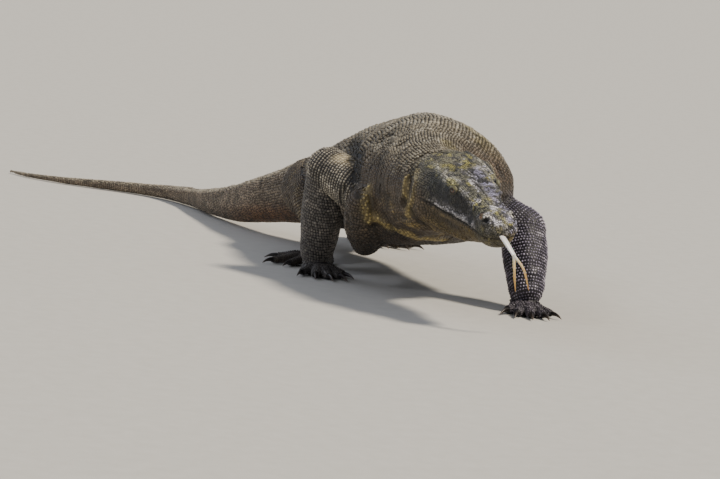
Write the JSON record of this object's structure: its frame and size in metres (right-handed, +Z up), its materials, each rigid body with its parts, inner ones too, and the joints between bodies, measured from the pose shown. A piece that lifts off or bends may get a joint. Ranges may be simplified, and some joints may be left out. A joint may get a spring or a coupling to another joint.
{
  "type": "komodo dragon",
  "caption": "Life-size still model of a komodo dragon in a low walk, head down, forked tongue out, tail laid along the floor.",
  "frame": {"origin": "on the floor below the middle of the model's extents, the tongue and the tail's tip included", "axes": "+Z up, head towards -Y, the animal's left side towards +X"},
  "size_m": [0.6868, 2.3076, 0.3863],
  "materials": {
    "hide": "matt, beaded scales, damp on the arms",
    "claw": "satin horn",
    "eye": "wet gloss",
    "tongue": "wet"
  },
  "bodies": {
    "root": {"belly": "hide", "chest": "hide", "eye_left": "eye", "eye_right": "eye", "front_left_claw_1": "claw", "front_left_claw_2": "claw", "front_left_claw_3": "claw", "front_left_claw_4": "claw", "front_left_claw_5": "claw", "front_left_foot": "hide", "front_left_lower": "hide", "front_left_upper": "hide", "front_right_claw_1": "claw", "front_right_claw_2": "claw", "front_right_claw_3": "claw", "front_right_claw_4": "claw", "front_right_claw_5": "claw", "front_right_foot": "hide", "front_right_lower": "hide", "front_right_upper": "hide", "head": "hide", "hind_left_claw_1": "claw", "hind_left_claw_2": "claw", "hind_left_claw_3": "claw", "hind_left_claw_4": "claw", "hind_left_claw_5": "claw", "hind_left_foot": "hide", "hind_left_lower": "hide", "hind_left_upper": "hide", "hind_right_claw_1": "claw", "hind_right_claw_2": "claw", "hind_right_claw_3": "claw", "hind_right_claw_4": "claw", "hind_right_claw_5": "claw", "hind_right_foot": "hide", "hind_right_lower": "hide", "hind_right_upper": "hide", "hips": "hide", "lower_jaw": "hide", "neck": "hide", "pectoral_fold": "hide", "tail_base": "hide", "tail_end": "hide", "tail_middle": "hide", "tongue": "tongue"}
  },
  "joints": []
}
